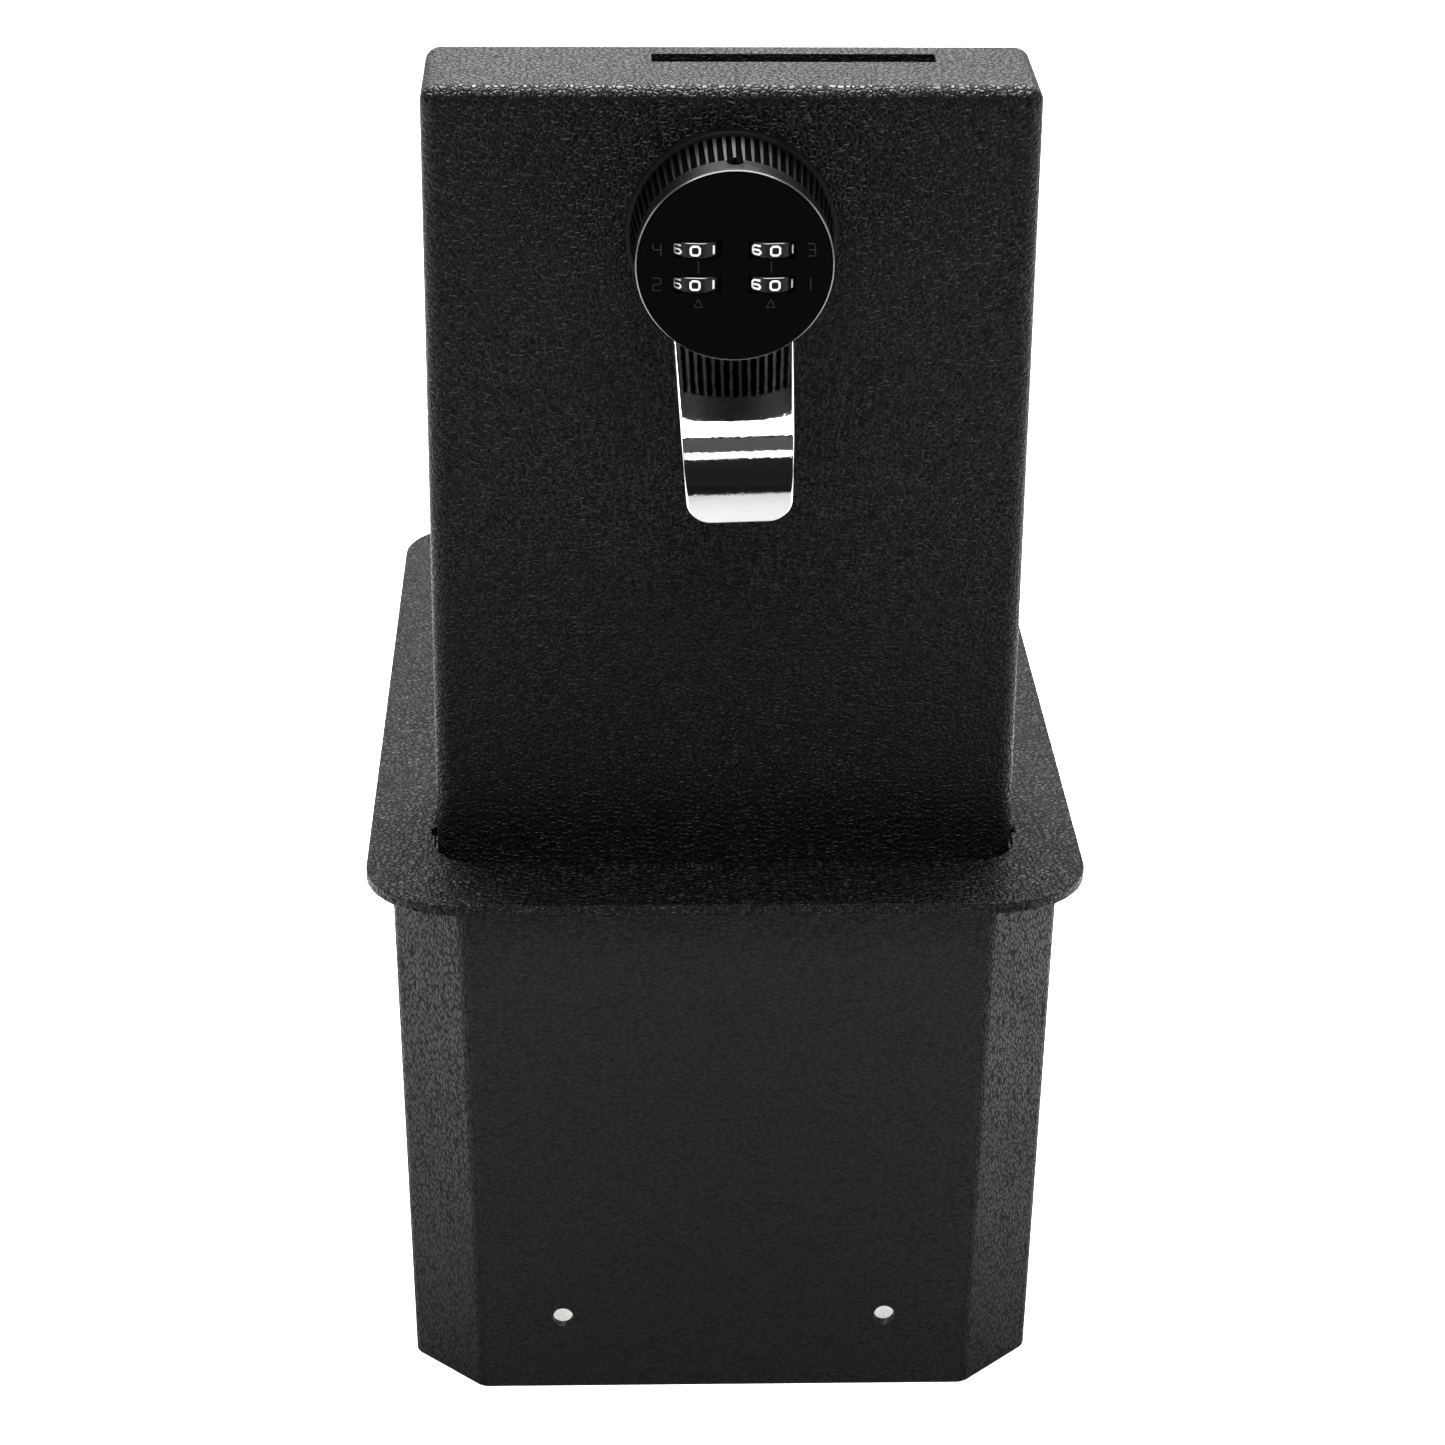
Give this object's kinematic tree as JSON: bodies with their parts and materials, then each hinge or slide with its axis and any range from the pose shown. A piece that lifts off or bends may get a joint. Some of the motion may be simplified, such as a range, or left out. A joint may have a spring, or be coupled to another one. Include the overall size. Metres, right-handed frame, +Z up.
{
  "type": "lock box",
  "caption": "Drop-in steel lock box: tapered tub under a flanged frame, hinged tray lid with a pull tab, and a ribbed knob with number wheels that swings a cam under a keeper.",
  "frame": {"origin": "underside of the tub, below the middle of the top frame", "axes": "+Z up, front with the hinge end and the fixing holes towards -Y, +X to the right seen from the front"},
  "size_m": [0.165, 0.246, 0.3113],
  "materials": {
    "powder_coat": "black wrinkle powder coat",
    "lock_black": "satin black on die-cast zinc",
    "face_black": "polished black",
    "wheel_black": "black with white figures",
    "chrome": "bright plate",
    "zinc_steel": "zinc plate",
    "bronze": "plain",
    "rubber": "matte",
    "felt": "pale grey felt"
  },
  "bodies": {
    "tub": {"tub_shell": "powder_coat", "tub_floor": "powder_coat", "floor_liner": "felt", "top_frame": "powder_coat", "hinge_bracket_left": "powder_coat", "hinge_bracket_right": "powder_coat", "pivot_pin_left": "zinc_steel", "pivot_pin_right": "zinc_steel", "latch_keeper": "powder_coat", "lid_rest_left": "powder_coat", "lid_rest_right": "powder_coat", "rest_bumpers": "rubber"},
    "lid": {"lid_pan": "powder_coat", "pivot_bush_left": "bronze", "pivot_bush_right": "bronze", "stop_stud_left": "zinc_steel", "stop_stud_right": "zinc_steel", "lock_backing_plate": "powder_coat", "pull_tab": "chrome", "lock_base": "lock_black", "lock_washer": "zinc_steel", "lock_nut": "zinc_steel"},
    "knob": {"knob_shell": "lock_black", "knob_face": "face_black", "knob_back": "lock_black", "knob_back_screws": "zinc_steel", "spindle": "zinc_steel", "cam_spacer": "zinc_steel", "latch_cam": "zinc_steel", "cam_screw": "zinc_steel", "wheel_axle_left": "zinc_steel", "wheel_axle_right": "zinc_steel", "detent_springs": "zinc_steel"},
    "bolt": {"code_bolt": "zinc_steel"},
    "wheel_upper_left": {"number_wheel_upper_left": "wheel_black"},
    "wheel_upper_right": {"number_wheel_upper_right": "wheel_black"},
    "wheel_lower_left": {"number_wheel_lower_left": "wheel_black"},
    "wheel_lower_right": {"number_wheel_lower_right": "wheel_black"}
  },
  "joints": [
    {"name": "lid_hinge", "type": "hinge", "parent": "tub", "child": "lid", "pos_m": [0, -0.083, 0.1222], "axis": [-1, 0, 0], "range_deg": [0, 92]},
    {"name": "knob_turn", "type": "hinge", "parent": "lid", "child": "knob", "pos_m": [0, -0.09647, 0.27859], "axis": [0, -0.9994, -0.0349], "range_deg": [0, 90]},
    {"name": "code_bolt_slide", "type": "slide", "parent": "knob", "child": "bolt", "axis": [0, 0.9994, 0.0349], "range_m": [0, 0.002]},
    {"name": "wheel_upper_left_spin", "type": "hinge", "parent": "knob", "child": "wheel_upper_left", "pos_m": [-0.00785, -0.11413, 0.28157], "axis": [0, -0.0349, 0.9994], "continuous": true},
    {"name": "wheel_upper_right_spin", "type": "hinge", "parent": "knob", "child": "wheel_upper_right", "pos_m": [0.00785, -0.11413, 0.28157], "axis": [0, -0.0349, 0.9994], "continuous": true},
    {"name": "wheel_lower_left_spin", "type": "hinge", "parent": "knob", "child": "wheel_lower_left", "pos_m": [-0.00785, -0.11387, 0.27398], "axis": [0, -0.0349, 0.9994], "continuous": true},
    {"name": "wheel_lower_right_spin", "type": "hinge", "parent": "knob", "child": "wheel_lower_right", "pos_m": [0.00785, -0.11387, 0.27398], "axis": [0, -0.0349, 0.9994], "continuous": true}
  ]
}
